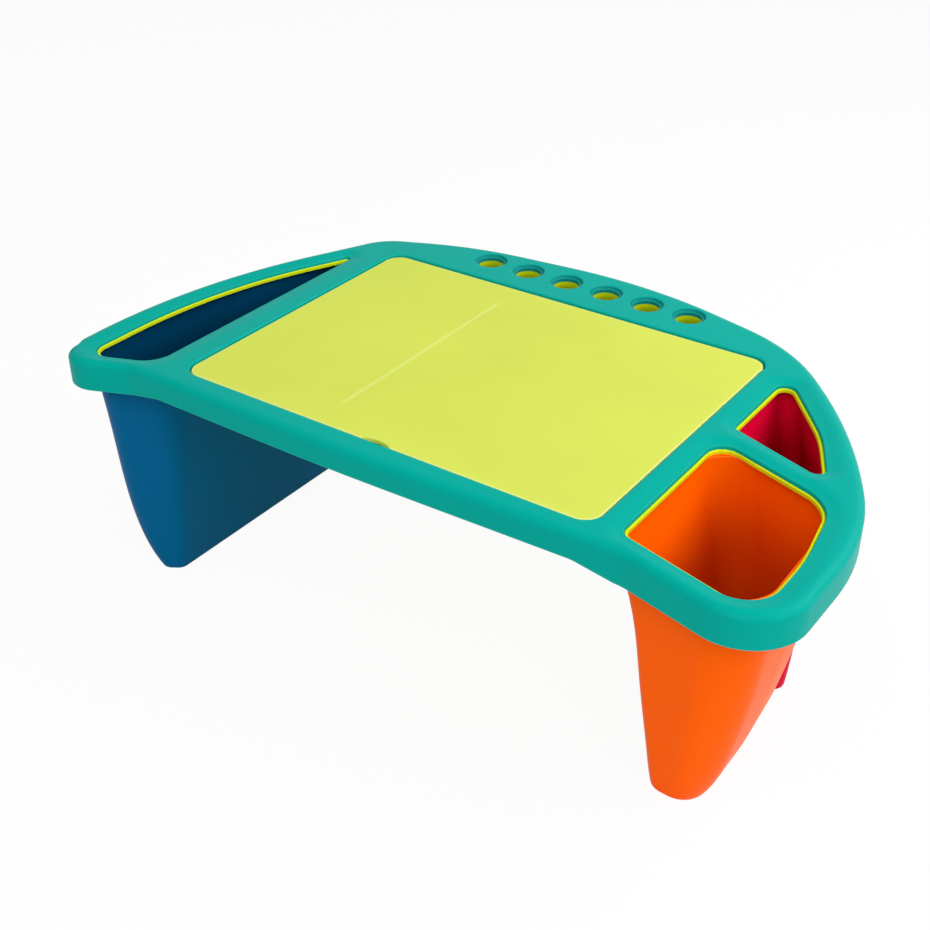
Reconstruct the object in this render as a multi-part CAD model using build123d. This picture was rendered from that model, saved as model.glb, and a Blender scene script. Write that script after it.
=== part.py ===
from build123d import *
import os

os.makedirs("parts", exist_ok=True)

# A child's moulded plastic lap desk that stands over the legs on three hollow leg bins.
# Every piece is drawn from one datum, the middle of the closed lid's top face: X runs to the user's
# right, Y away from the user, Z up. to_frame then moves it so that the desk stands on Z = 0.

# ---- overall ----
floor_to_lid = 174.0        # table to the lid's top face
outline_mid_x = 17.6        # middle of the outer outline, from the datum
outline_mid_y = 14.05
to_frame = Pos(-outline_mid_x, -outline_mid_y, floor_to_lid)

# ---- lid and hinge ----
lid_width = 310.0
lid_depth = 228.4
lid_thickness = 2.5
lid_corner = 12.0
lid_gap = 1.2               # all round, between the lid and its window
lid_edge_round = 0.7
notch_x = 4.0               # finger notch in the lid's front edge
notch_width = 23.0
notch_depth = 3.5
hinge_inset = 9.7           # hinge line to the lid's back edge, so the corners swing clear of the frame
hinge_y = lid_depth / 2 - hinge_inset
hinge_z = -lid_thickness
bead_radius = 2.5           # round bead under the lid along the hinge line
bead_half_length = 144.0
pin_radius = 1.8
pin_end_x = 159.5
pin_play = 0.1
cap_start = 154.5           # inner ends of a pin's bearing, in the frame and in the tray
saddle_start = 156.1
saddle_end = 161.0          # outer end of both
saddle_half = 4.0           # half their width
saddle_play = 0.3
saddle_drop = 2.5           # how far they reach below the tray's plate
pocket_x = 155.8            # the lid's back corners swing down into pockets this wide
pocket_floor = -14.5
pocket_stop = 2.3           # a pocket's front wall stops the lid just past its range

# ---- frame shell ----
frame_top = 1.2             # crown of the frame above the lid
wall = 2.5                  # shell thickness
skirt_ears = -20.5          # lower edge of the skirt at the two ends
skirt_middle = -15.5        # and in the middle of the front and back, where it arches up
arch_left = (-190.0, -163.0)
arch_right = (178.0, 152.0)
outer_round = 4.5           # top outer edge
roll = 4.0                  # rolled edge of each opening
lip = -3.0                  # lower edge of the rolled lips
skin = frame_top - wall     # underside of the frame's top
window_round = 1.0

# ---- pencil holes ----
hole_count = 6
hole_pitch = 33.4
hole_mid_x = -3.5
hole_y = 144.2
hole_radius = 9.5
hole_roll = 1.8
hole_wall = 2.0
cup_play = 0.4

# ---- tray ----
tray_thick = 1.6            # plate between the frame and the bins
tray_play = 0.5             # between the plate's edge and the skirt
plate_low = lip - tray_thick
rim_width = 2.0             # the plate's raised rim shows inside each opening of the frame
rim_gap = 0.3               # from the rim to the frame's lip
rim_top = -2.2
rim_round = 0.7
base_bottom = -19.5         # underside of the paper pan and the pencil cups
base_floor = -17.0
pan_half_x = 151.0
pan_front = -110.4
pan_back = 114.8
pan_wall = 2.2
pan_corner = 9.0
pan_back_corner = 4.0
pan_round = 3.0
ledge_top = -2.6            # the lid lies on this ledge
ledge_back = 98.0
ledge_clear = 0.3
dish_radius = 30.0          # the finger dish under the lid's notch
dish_depth = 1.1
rib_x = -45.0               # low rib on the pan's floor
rib_length = 172.0
rib_y = 8.0
rib_height = 1.4
rib_width = 3.0
rib_round = 1.0
gusset = 1.8                # thickness of the ribs under the front and back bars
gusset_height = 5.0
gusset_front = -127.5       # their outer ends
gusset_back = 138.0
front_gussets = (-146, -90, -58, -28, 32, 62, 86, 140)
back_gussets = (-136, -103.7, -36.9, 29.9, 96.5, 132)

# ---- leg bins ----
bin_wall = 2.2
bin_floor = 2.6
flange_top = plate_low
flange_thick = 2.5
flange_reach = 6.0
neck = flange_top - flange_thick
leg_foot = -floor_to_lid
foot_round = 3.0            # rounding round the foot

# ---- screws ----
boss_radius = 3.5
boss_play = 0.3             # round a boss where it passes the plate
pilot_radius = 1.45
pilot_bite = 0.6            # how far a pilot hole goes into the frame's top
screw_radius = 1.4
shank_hole = 1.75
head_radius = 2.9
head_height = 2.0
head_round = 0.9
recess_length = 4.0         # cross recess in a screw's head
recess_width = 0.8
recess_depth = 1.0
tray_screw_bite = 7.5       # shank above a well's floor
bin_screw_bite = 2.6        # shank above the flange
well_depth = 6.5            # a tray screw's boss sits in a well this deep
well_radius = 5.4
well_play = 0.4
pad_radius = 5.0
tray_screws = [
    (-118, -122.6), (2, -122.8), (112, -121.8), (-120, 128), (-3.5, 125.6), (113, 128),
    (-163, 119), (163, 120), (271, -72),
]
blue_screws = [(-165.8, -68), (-165.8, 14), (-166, 92), (-235.5, -132)]
orange_screws = [(161.2, -84), (161.2, -12), (266.5, -30), (261.5, -127)]
red_screws = [(161.2, 48), (161.2, 84), (238.5, 31)]

# Corners of the frame's outline with their radii, from the left front bend, anticlockwise.
outline_corners = [
    ((-189.0, -132.2), 22.0),
    ((-20.0, -134.6), 2500.0),
    ((182.5, -129.2), 40.0),
    ((280.8, -154.0), 36.0),
    ((282.6, -32.4), 167.0),
    ((235.6, 61.0), 433.0),
    ((161.8, 142.3), 140.0),
    ((31.5, 178.0), 346.0),
    ((-113.8, 162.8), 257.0),
    ((-181.6, 133.0), 40.0),
    ((-251.2, -16.5), 414.0),
    ((-244.5, -155.8), 22.5),
]

# Corners of the frame's three openings, with their radii.
blue_mouth = [
    ((-180.0, -115.1), 20.0),
    ((-229.8, -135.2), 13.0),
    ((-230.2, -6.0), 360.0),
    ((-180.0, 101.2), 3.0),
]
orange_mouth = [
    ((170.8, -110.8), 9.0),
    ((263.2, -135.0), 21.0),
    ((264.3, -78.0), 160.0),
    ((255.5, -19.8), 26.0),
    ((170.8, 8.4), 28.0),
]
red_mouth = [
    ((172.1, 25.8), 5.0),
    ((243.5, 0.6), 5.5),
    ((221.0, 46.5), 120.0),
    ((172.1, 107.0), 7.5),
]

# Corners of the three leg bins: at the top with their radii, and the same corners at the foot.
# Inner corners follow the flared inner wall, outer ones the bowed outer wall.
blue_corners = [
    ("inner", (-174.0, -110.0), 26.0, (-185.5, -111.5), 6.0),
    ("outer", (-233.8, -137.8), 16.0, (-199.7, -121.0), 6.0),
    ("outer", (-233.4, -28.6), 250.0, (-201.0, -40.0), 80.0),
    ("outer", (-189.4, 95.0), 9.0, (-198.5, 58.0), 5.0),
    ("inner", (-174.0, 104.0), 4.5, (-185.5, 66.0), 3.5),
]
orange_corners = [
    ("inner", (169.7, -111.8), 9.0, (201.4, -109.7), 8.6),
    ("outer", (260.5, -133.8), 24.0, (228.5, -110.2), 14.0),
    ("outer", (259.5, -62.0), 150.0, (228.0, -66.0), 60.0),
    ("outer", (254.0, -15.5), 14.0, (225.0, -20.0), 9.0),
    ("inner", (169.7, 11.4), 25.0, (201.4, -8.0), 8.0),
]
red_corners = [
    ("inner", (171.0, 26.5), 5.0, (202.0, 18.0), 5.0),
    ("outer", (242.0, 2.2), 5.0, (231.0, 8.0), 6.0),
    ("outer", (219.0, 50.0), 120.0, (219.0, 44.0), 40.0),
    ("inner", (171.0, 112.0), 7.5, (202.0, 72.0), 6.0),
]

# How far each wall has moved towards its place at the foot.
leg_levels = [
    # height, inner walls, outer walls of the right bins, outer wall of the left bin
    (neck, 0.000, 0.000, 0.000),
    (-40.0, 0.295, 0.070, 0.103),
    (-70.0, 0.510, 0.170, 0.190),
    (-100.0, 0.643, 0.319, 0.270),
    (-130.0, 0.790, 0.517, 0.407),
    (-155.0, 0.904, 0.730, 0.643),
    (leg_foot, 1.000, 1.000, 1.000),
]


# ---- plan outlines ----

def outer_outline():
    """The frame's outline: a broad curved back, two rounded ears and a shallow front between them."""
    return make_face(rounded_loop(outline_corners))


def rounded_loop(corners):
    """A closed loop through (point, radius) corners."""
    points = [point for point, radius in corners]
    radii = [radius for point, radius in corners]
    return FilletPolyline(*points, radius=radii, close=True)


def grown(corners, amount):
    """The same loop moved outwards by amount, or inwards where it is negative."""
    moved = []
    count = len(corners)
    for index, (point, radius) in enumerate(corners):
        here = Vector(*point)
        into = (here - Vector(*corners[index - 1][0])).normalized()
        out = (Vector(*corners[(index + 1) % count][0]) - here).normalized()
        side_in = Vector(into.Y, -into.X)
        side_out = Vector(out.Y, -out.X)
        if winding(corners) < 0:
            side_in, side_out = side_in * -1, side_out * -1
        corner = (side_in + side_out) * (amount / (1 + side_in.dot(side_out)))
        moved.append(((here.X + corner.X, here.Y + corner.Y), max(radius + amount, 1.2)))
    return moved


def winding(corners):
    """Positive where the corners run anticlockwise."""
    area = 0
    for index, (point, radius) in enumerate(corners):
        before = corners[index - 1][0]
        area += before[0] * point[1] - point[0] * before[1]
    return area


def slab(face, low, high):
    """A flat outline made solid between two heights."""
    return extrude(Pos(0, 0, low) * face, high - low)


def ring_slab(corners, inner, outer, low, high):
    """A wall round a loop, from inner to outer outside it."""
    outside = make_face(rounded_loop(grown(corners, outer)))
    inside = make_face(rounded_loop(grown(corners, inner)))
    return slab(outside - inside, low, high)


def window_corners():
    """The corners of the lid's window in the frame."""
    half_x = lid_width / 2 + lid_gap
    half_y = lid_depth / 2 + lid_gap
    radius = lid_corner + lid_gap
    return [((-half_x, -half_y), radius), ((half_x, -half_y), radius),
            ((half_x, half_y), radius), ((-half_x, half_y), radius)]


def pan_corners():
    """The corners of the paper pan's inside."""
    return [((-pan_half_x, pan_front), pan_corner), ((pan_half_x, pan_front), pan_corner),
            ((pan_half_x, pan_back), pan_back_corner), ((-pan_half_x, pan_back), pan_back_corner)]


def hole_centres():
    """Where the pencil holes stand, in a row behind the lid."""
    first = hole_mid_x - hole_pitch * (hole_count - 1) / 2
    return [(first + hole_pitch * index, hole_y) for index in range(hole_count)]


def post(place, radius, low, high):
    """A round post at a place in plan."""
    return Pos(place[0], place[1], (low + high) / 2) * Cylinder(radius, high - low)


def block(x_span, y_span, z_span):
    """A box given by its two faces along each axis."""
    size = [span[1] - span[0] for span in (x_span, y_span, z_span)]
    middle = [(span[1] + span[0]) / 2 for span in (x_span, y_span, z_span)]
    return Pos(*middle) * Box(*[abs(side) for side in size])


mouths = [blue_mouth, orange_mouth, red_mouth]
bin_screws = blue_screws + orange_screws + red_screws


# ---- top frame ----

def arch_cut():
    """What the skirt's shallow arch takes away along the front and the back."""
    low = skirt_ears - 5
    path = FilletPolyline((arch_left[0], low), (arch_left[0], skirt_ears), (arch_left[1], skirt_middle),
                          (arch_right[1], skirt_middle), (arch_right[0], skirt_ears), (arch_right[0], low),
                          radius=[0.01, 30, 30, 0.01])
    profile = make_face(path + Line((arch_right[0], low), (arch_left[0], low)))
    return extrude(Plane.XZ * profile, lid_depth, both=True)


def top_frame():
    """The frame: one moulded shell, open below, with a skirt, rolled openings and screw bosses."""
    body = slab(outer_outline(), skirt_ears, frame_top)
    body = fillet(body.edges().group_by(Axis.Z)[-1], outer_round)
    loops = [(corners, roll) for corners in mouths] + [(window_corners(), window_round)]
    for corners, rounding in loops:
        loop = rounded_loop(corners)
        body -= slab(make_face(loop), skirt_ears - 1, frame_top + 1)
        body = fillet(top_edges_on(body, loop), rounding)
    for place in hole_centres():
        body -= post(place, hole_radius, skirt_ears - 1, frame_top + 1)
        rim = Pos(*place) * Wire.make_circle(hole_radius)
        body = fillet(top_edges_on(body, rim), hole_roll)
    body -= frame_hollow()
    body -= arch_cut()
    for place in tray_screws:
        body -= post(place, pilot_radius, lip - well_depth - 1, skin + pilot_bite)
    for place in bin_screws:
        body -= post(place, pilot_radius, flange_top - 1, skin + pilot_bite)
    for side in (-1, 1):
        body -= hinge_bore(side)
    return body


def top_edges_on(body, loop):
    """The edges of a body's top face that lie on a loop drawn at the datum."""
    found = []
    for edge in body.edges():
        middle = edge.position_at(0.5)
        if abs(middle.Z - frame_top) < 0.01 and loop.distance_to(Vector(middle.X, middle.Y, 0)) < 0.02:
            found.append(edge)
    return found


def frame_hollow():
    """The space under the frame's skin, less the lips, bosses and hinge caps that stand in it."""
    hollow = slab(offset(outer_outline(), -wall, kind=Kind.INTERSECTION), skirt_ears - 1, skin)
    hollow = fillet(hollow.edges().group_by(Axis.Z)[-1], outer_round - wall)
    for corners in mouths + [window_corners()]:
        hollow -= ring_slab(corners, -1, wall, lip, skin)
    for place in hole_centres():
        hollow -= post(place, hole_radius + hole_wall, lip, skin)
    for place in tray_screws:
        hollow -= post(place, boss_radius, lip - well_depth, skin)
    for place in bin_screws:
        hollow -= post(place, boss_radius, flange_top, skin)
    for side in (-1, 1):
        hollow -= hinge_cap(side)
    return hollow


def hinge_cap(side):
    """The upper half of a hinge pin's bearing, under the frame beside the window."""
    spans = sorted((side * cap_start, side * saddle_end))
    return block(spans, (hinge_y - saddle_half, hinge_y + saddle_half), (hinge_z, skin))


def hinge_bore(side):
    """Room for a pin, with a slot below it through the window's lip for the tray's saddle."""
    slot = block(sorted((side * bead_half_length, side * (saddle_end + saddle_play))),
                 (hinge_y - saddle_half - saddle_play, hinge_y + saddle_half + saddle_play),
                 (lip - 1, hinge_z))
    return pin_bore(side) + slot


def pin_bore(side):
    """The round bore that a hinge pin turns in."""
    start = bead_half_length - 1
    end = pin_end_x + 0.5
    along = Pos(side * (start + end) / 2, hinge_y, hinge_z) * Rot(0, 90, 0)
    return along * Cylinder(pin_radius + pin_play, end - start)


# ---- storage tray ----

def storage_tray():
    """The tray under the frame: paper pan, lid ledge, opening rims, pencil cups and screw wells."""
    body = slab(offset(outer_outline(), -(wall + tray_play), kind=Kind.INTERSECTION), plate_low, lip)
    pan = slab(make_face(rounded_loop(grown(pan_corners(), pan_wall))), base_bottom, plate_low)
    body += fillet(pan.edges().group_by(Axis.Z)[0], pan_round)
    body += lid_ledge()
    for place in hole_centres():
        body += post(place, hole_radius + cup_play + hole_wall, base_bottom, plate_low)
    for place in tray_screws:
        body += post(place, well_radius, plate_low - well_depth, plate_low)
    for side in (-1, 1):
        body += hinge_saddle(side)
        body += hinge_pocket(side, pan_wall, plate_low)
    body += gussets()
    pan_inside = slab(make_face(rounded_loop(pan_corners())), base_floor, 1)
    body -= fillet(pan_inside.edges().group_by(Axis.Z)[0], pan_round - 1)
    for corners in mouths:
        body -= slab(make_face(rounded_loop(grown(corners, -rim_width))), plate_low - 1, lip + 1)
        body += opening_rim(corners)
    for place in hole_centres():
        body -= post(place, hole_radius + cup_play, base_floor, lip + 1)
    for place in tray_screws:
        body -= post(place, boss_radius + boss_play, lip - well_depth, lip + 1)
        body -= post(place, shank_hole, base_bottom, lip)
    for place in bin_screws:
        body -= post(place, boss_radius + boss_play, plate_low - 1, lip + 1)
    for side in (-1, 1):
        body -= hinge_pocket(side, 0, 0)
        body -= pin_bore(side)
    return body - finger_dish() + floor_rib()


def opening_rim(corners):
    """The raised rim round one of the plate's openings, just inside the frame's rolled lip."""
    rim = ring_slab(corners, -rim_width, -rim_gap, plate_low, rim_top)
    return fillet(rim.edges().group_by(Axis.Z)[-1], rim_round)


def floor_rib():
    """The low rib along the pan's floor."""
    rib = block((rib_x - rib_width / 2, rib_x + rib_width / 2),
                (rib_y - rib_length / 2, rib_y + rib_length / 2), (base_floor, base_floor + rib_height))
    return fillet(rib.edges().filter_by(Axis.Y).group_by(Axis.Z)[-1], rib_round)


def lid_ledge():
    """The raised ledge inside the window that carries the lid at its front and sides."""
    outside = make_face(rounded_loop(grown(window_corners(), -ledge_clear)))
    ledge = slab(outside, lip, ledge_top)
    behind = block((-lid_width, lid_width), (ledge_back, lid_depth), (lip, ledge_top))
    return ledge - behind


def finger_dish():
    """A shallow dish in the ledge under the lid's finger notch."""
    return Pos(notch_x, -lid_depth / 2 + 2, ledge_top - dish_depth + dish_radius) * Sphere(dish_radius)


def hinge_saddle(side):
    """The lower half of a hinge pin's bearing, through the tray's plate."""
    spans = sorted((side * saddle_start, side * saddle_end))
    return block(spans, (hinge_y - saddle_half, hinge_y + saddle_half),
                 (plate_low - saddle_drop, hinge_z))


def hinge_pocket(side, thick, top):
    """The pocket beside the pan at a hinge pin, or its walls where thick is their thickness."""
    return block(sorted((side * (pan_half_x - 1), side * (pocket_x + thick))),
                 (hinge_y - pocket_stop - thick, pan_back + thick), (pocket_floor - thick, top))


def gussets():
    """Short ribs under the plate that stiffen the front and back bars."""
    front = (gusset_front, pan_front - pan_wall + 1)
    back = (pan_back + pan_wall - 1, gusset_back)
    ribs = Part()
    for places, span in ((front_gussets, front), (back_gussets, back)):
        for x in places:
            ribs += block((x - gusset / 2, x + gusset / 2), span, (plate_low - gusset_height, plate_low))
    return ribs


# ---- lid ----

def lid():
    """The lid: a thin frosted sheet with a finger notch, a hinge bead and two stub pins."""
    sheet = Pos(0, 0, -lid_thickness / 2) * Box(lid_width, lid_depth, lid_thickness)
    sheet = fillet(sheet.edges().filter_by(Axis.Z), lid_corner)
    notch_radius = ((notch_width / 2) ** 2 + notch_depth ** 2) / (2 * notch_depth)
    notch_y = -lid_depth / 2 + notch_depth - notch_radius
    sheet -= post((notch_x, notch_y), notch_radius, -lid_thickness - 1, 1)
    sheet = fillet(sheet.edges().group_by(Axis.Z)[-1], lid_edge_round)
    bead = Pos(0, hinge_y, hinge_z) * Rot(0, 90, 0) * Cylinder(bead_radius, 2 * bead_half_length)
    body = sheet + bead
    for side in (-1, 1):
        start = bead_half_length - 2
        length = pin_end_x - start
        body += Pos(side * (start + length / 2), hinge_y, hinge_z) * Rot(0, 90, 0) * Cylinder(
            pin_radius, length)
    return body


# ---- leg bins ----

def leg_loft(corners, growth):
    """A leg's smooth body from the flange to the foot, grown outwards from its inner face."""
    sections = []
    for height, inner, outer_right, outer_left in leg_levels:
        outer = outer_left if corners[0][1][0] < 0 else outer_right
        loop = []
        for side, top, radius, foot, foot_radius in corners:
            share = inner if side == "inner" else outer
            point = (top[0] + (foot[0] - top[0]) * share, top[1] + (foot[1] - top[1]) * outer)
            loop.append((point, radius + (foot_radius - radius) * share))
        sections.append(Pos(0, 0, height) * make_face(rounded_loop(grown(loop, growth))))
    body = loft(sections)
    return fillet(body.edges().group_by(Axis.Z)[0], foot_round)


def leg_bin(corners, screws):
    """A leg bin: a tapering cup with a flange that screws up under the tray."""
    opening = [(top, radius) for side, top, radius, foot, foot_radius in corners]
    flange = make_face(rounded_loop(grown(opening, flange_reach)))
    for place in screws:
        flange += Pos(*place) * Circle(pad_radius)
    room = offset(outer_outline(), -(wall + tray_play), kind=Kind.INTERSECTION)
    body = slab(flange & room, neck, flange_top)
    body += leg_loft(corners, bin_wall)
    body -= Pos(0, 0, bin_floor) * leg_loft(corners, 0)
    for place in screws:
        body -= post(place, shank_hole, neck - 1, flange_top + 1)
    for place in tray_screws:
        body -= post(place, well_radius + well_play, neck - 1, flange_top + 1)
    return body


# ---- screws ----

def pan_head_screw(place, seat, length):
    """One screw, driven from below: its head's upper face at seat and its shank above."""
    shank = post(place, screw_radius, seat, seat + length)
    head = post(place, head_radius, seat - head_height, seat)
    head = fillet(head.edges().group_by(Axis.Z)[0], head_round)
    slot = Box(recess_length, recess_width, 2 * recess_depth)
    recess = Pos(place[0], place[1], seat - head_height) * (slot + Rot(0, 0, 90) * slot)
    return head + shank - recess


def screw_group(places, seat, length):
    """All the screws of one kind."""
    return Compound(children=[pan_head_screw(place, seat, length) for place in places])


pieces = {
    "top_frame": top_frame(),
    "storage_tray": storage_tray(),
    "lid": lid(),
    "blue_leg_bin": leg_bin(blue_corners, blue_screws),
    "orange_leg_bin": leg_bin(orange_corners, orange_screws),
    "red_leg_bin": leg_bin(red_corners, red_screws),
    "tray_screws": screw_group(tray_screws, plate_low - well_depth, tray_thick + tray_screw_bite),
    "bin_screws": screw_group(bin_screws, neck, flange_thick + bin_screw_bite),
}

for name, piece in pieces.items():
    export_step(to_frame * piece, f"parts/{name}.step")
    box = (to_frame * piece).bounding_box()
    print(f"{name:16s} {box.min.X:8.1f} {box.max.X:8.1f} {box.min.Y:8.1f} {box.max.Y:8.1f} "
          f"{box.min.Z:8.1f} {box.max.Z:8.1f}  volume {piece.volume / 1000:8.2f} cm3")
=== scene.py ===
import bmesh
import bpy
import math
import numpy as np
from mathutils import Matrix, Vector, geometry


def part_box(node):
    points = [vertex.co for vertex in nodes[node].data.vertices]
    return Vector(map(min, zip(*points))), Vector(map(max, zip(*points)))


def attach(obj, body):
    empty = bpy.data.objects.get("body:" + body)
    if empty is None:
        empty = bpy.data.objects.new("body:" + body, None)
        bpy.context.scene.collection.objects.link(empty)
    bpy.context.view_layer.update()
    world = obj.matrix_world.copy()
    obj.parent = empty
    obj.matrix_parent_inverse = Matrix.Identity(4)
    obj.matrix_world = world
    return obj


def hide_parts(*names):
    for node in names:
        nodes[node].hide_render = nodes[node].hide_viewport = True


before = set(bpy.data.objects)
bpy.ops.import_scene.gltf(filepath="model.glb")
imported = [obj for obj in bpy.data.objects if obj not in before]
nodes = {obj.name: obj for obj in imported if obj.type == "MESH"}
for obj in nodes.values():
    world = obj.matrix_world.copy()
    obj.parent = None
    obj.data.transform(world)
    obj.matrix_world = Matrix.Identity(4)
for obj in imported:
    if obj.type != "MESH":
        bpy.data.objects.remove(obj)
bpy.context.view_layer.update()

# the middle of the closed lid's top face, which every place below is counted from
lidLow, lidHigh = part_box("lid")
datum = Vector(((lidLow.x + lidHigh.x) / 2, (lidLow.y + lidHigh.y) / 2, lidHigh.z))
print("frame loaded, lid centre at", [round(v, 4) for v in datum])


def srgb(red, green, blue):  # 8-bit screen colour to the linear colour that Blender wants
    def linear(v):
        v /= 255
        return v / 12.92 if v <= 0.04045 else ((v + 0.055) / 1.055) ** 2.4
    return (linear(red), linear(green), linear(blue), 1.0)


def fillInputs(tree, node, inputs):
    for key, value in (inputs or {}).items():
        if hasattr(value, "is_output"):
            tree.links.new(value, node.inputs[key])
        else:
            node.inputs[key].default_value = value
    return node


def addNode(tree, kind, inputs=None, **settings):
    node = tree.nodes.new(kind)
    for key, value in settings.items():
        setattr(node, key, value)
    return fillInputs(tree, node, inputs)


def addGroup(tree, group, inputs):
    return fillInputs(tree, addNode(tree, "ShaderNodeGroup", node_tree=group), inputs)


def mathNode(tree, operation, *values, clamp=False):
    node = addNode(tree, "ShaderNodeMath", dict(enumerate(values)), operation=operation, use_clamp=clamp)
    return node.outputs[0]


def blendNode(tree, mask, first, second):
    node = addNode(tree, "ShaderNodeMix", data_type="RGBA")
    fillInputs(tree, node, {"Factor": mask, "A": first, "B": second})
    return node.outputs["Result"]


def splitNode(tree, value):  # a vector's X, Y and Z
    return addNode(tree, "ShaderNodeSeparateXYZ", {"Vector": value}).outputs


def fadeNode(tree, value, start, end):  # 0 at start to 1 at end, softly
    return addNode(tree, "ShaderNodeMapRange", {"Value": value, "From Min": start, "From Max": end},
                   interpolation_type="SMOOTHSTEP").outputs[0]


def newTree(holder):  # an empty node tree for a material or the world
    holder.use_nodes = True
    holder.node_tree.nodes.clear()
    return holder.node_tree


def newGroup(name, inputs, outputs):
    group = bpy.data.node_groups.new(name, "ShaderNodeTree")
    for label, kind, value in inputs:
        group.interface.new_socket(label, in_out="INPUT", socket_type=kind).default_value = value
    for label, kind in outputs:
        group.interface.new_socket(label, in_out="OUTPUT", socket_type=kind)
    return group, group.nodes.new("NodeGroupInput"), group.nodes.new("NodeGroupOutput")


grainSettings = {  # scales are per metre
    "fineScale": 1500.0,   # grains about 0.7 mm apart
    "cellShare": -0.6,     # how much the cells take from the grains' height
    "peelScale": 160.0,    # slow orange peel of a moulded skin
    "flowScale": 9.0,      # broad shading where the melt flowed
    "flowBend": 0.6,
    "speckShare": 0.35,    # how much single grains change the tone
}
rubSettings = {
    "sameBelow": 0.995, "wornAbove": 0.86,    # how alike the plain and the rounded normal are
    "patchScale": 70.0, "patchLeast": 0.3,    # wear comes in patches
}
scuffSettings = {"scale": 420.0, "from": 0.46, "to": 0.66}


def makeGrainGroup():
    group, given, result = newGroup("mouldGrain", [
        ("Vector", "NodeSocketVector", (0, 0, 0)),
        ("Fine", "NodeSocketFloat", 1.0),
        ("Peel", "NodeSocketFloat", 1.0),
    ], [("Height", "NodeSocketFloat"), ("Speck", "NodeSocketFloat")])
    place, look = given.outputs["Vector"], grainSettings
    fine = addNode(group, "ShaderNodeTexNoise", {
        "Vector": place, "Scale": look["fineScale"], "Detail": 2.0, "Roughness": 0.55})
    cells = addNode(group, "ShaderNodeTexVoronoi", {
        "Vector": place, "Scale": look["fineScale"] * 0.9}, feature="SMOOTH_F1")
    peel = addNode(group, "ShaderNodeTexNoise", {
        "Vector": place, "Scale": look["peelScale"], "Detail": 1.0})
    grit = mathNode(
        group, "MULTIPLY_ADD", cells.outputs["Distance"], look["cellShare"], fine.outputs["Fac"])
    fineShare = mathNode(group, "MULTIPLY", grit, given.outputs["Fine"])
    peelShare = mathNode(group, "MULTIPLY", peel.outputs["Fac"], given.outputs["Peel"])
    group.links.new(mathNode(group, "ADD", fineShare, peelShare), result.inputs["Height"])
    group.links.new(fine.outputs["Fac"], result.inputs["Speck"])
    return group


def makeToneGroup():
    group, given, result = newGroup("flowTone", [
        ("Vector", "NodeSocketVector", (0, 0, 0)),
        ("Color", "NodeSocketColor", (1, 1, 1, 1)),
        ("Spread", "NodeSocketFloat", 0.05),
        ("Speck", "NodeSocketFloat", 0.5),
    ], [("Color", "NodeSocketColor")])
    look = grainSettings
    flow = addNode(group, "ShaderNodeTexNoise", {
        "Vector": given.outputs["Vector"], "Scale": look["flowScale"], "Detail": 3.0,
        "Distortion": look["flowBend"]})
    away = mathNode(group, "SUBTRACT", flow.outputs["Fac"], 0.5)
    speck = mathNode(group, "SUBTRACT", given.outputs["Speck"], 0.5)
    grit = mathNode(group, "MULTIPLY", speck, look["speckShare"])
    shift = mathNode(group, "ADD", away, grit)
    value = mathNode(group, "MULTIPLY_ADD", shift, given.outputs["Spread"], 1.0)
    tinted = addNode(group, "ShaderNodeHueSaturation", {"Value": value, "Color": given.outputs["Color"]})
    group.links.new(tinted.outputs["Color"], result.inputs["Color"])
    return group


def makeEdgeGroup():
    group, given, result = newGroup("edgeRub", [
        ("Vector", "NodeSocketVector", (0, 0, 0)),
        ("Radius", "NodeSocketFloat", 0.001),
        ("Wear", "NodeSocketFloat", 1.0),
    ], [("Mask", "NodeSocketFloat")])
    look = rubSettings
    rounded = addNode(group, "ShaderNodeBevel", {"Radius": given.outputs["Radius"]}, samples=4)
    plain = addNode(group, "ShaderNodeNewGeometry")
    alike = addNode(group, "ShaderNodeVectorMath", operation="DOT_PRODUCT")
    fillInputs(group, alike, {0: rounded.outputs["Normal"], 1: plain.outputs["Normal"]})
    edge = addNode(group, "ShaderNodeMapRange", {
        "Value": alike.outputs["Value"], "From Min": look["sameBelow"], "From Max": look["wornAbove"]})
    patchy = addNode(group, "ShaderNodeTexNoise", {
        "Vector": given.outputs["Vector"], "Scale": look["patchScale"], "Detail": 5.0, "Roughness": 0.7})
    broken = addNode(group, "ShaderNodeMapRange", {
        "Value": patchy.outputs["Fac"], "From Min": 0.35, "From Max": 0.7, "To Min": look["patchLeast"]})
    worn = mathNode(group, "MULTIPLY", edge.outputs[0], broken.outputs[0])
    mask = mathNode(group, "MULTIPLY", worn, given.outputs["Wear"], clamp=True)
    group.links.new(mask, result.inputs["Mask"])
    return group


def makeScuffGroup():
    group, given, result = newGroup("footScuff", [
        ("Vector", "NodeSocketVector", (0, 0, 0)),
        ("High", "NodeSocketFloat", 0.01),
    ], [("Mask", "NodeSocketFloat")])
    place, look = given.outputs["Vector"], scuffSettings
    height = addNode(group, "ShaderNodeMapRange", {
        "Value": splitNode(group, place)["Z"], "From Min": 0.0, "From Max": given.outputs["High"],
        "To Min": 1.0, "To Max": 0.0}, interpolation_type="SMOOTHSTEP")
    streak = addNode(group, "ShaderNodeTexNoise", {
        "Vector": place, "Scale": look["scale"], "Detail": 6.0, "Roughness": 0.75})
    rubbed = addNode(group, "ShaderNodeMapRange", {
        "Value": streak.outputs["Fac"], "From Min": look["from"], "From Max": look["to"]})
    mask = mathNode(group, "MULTIPLY", height.outputs[0], rubbed.outputs[0], clamp=True)
    group.links.new(mask, result.inputs["Mask"])
    return group


grainGroup = makeGrainGroup()
toneGroup = makeToneGroup()
edgeGroup = makeEdgeGroup()
scuffGroup = makeScuffGroup()
print("shader groups made")


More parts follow.
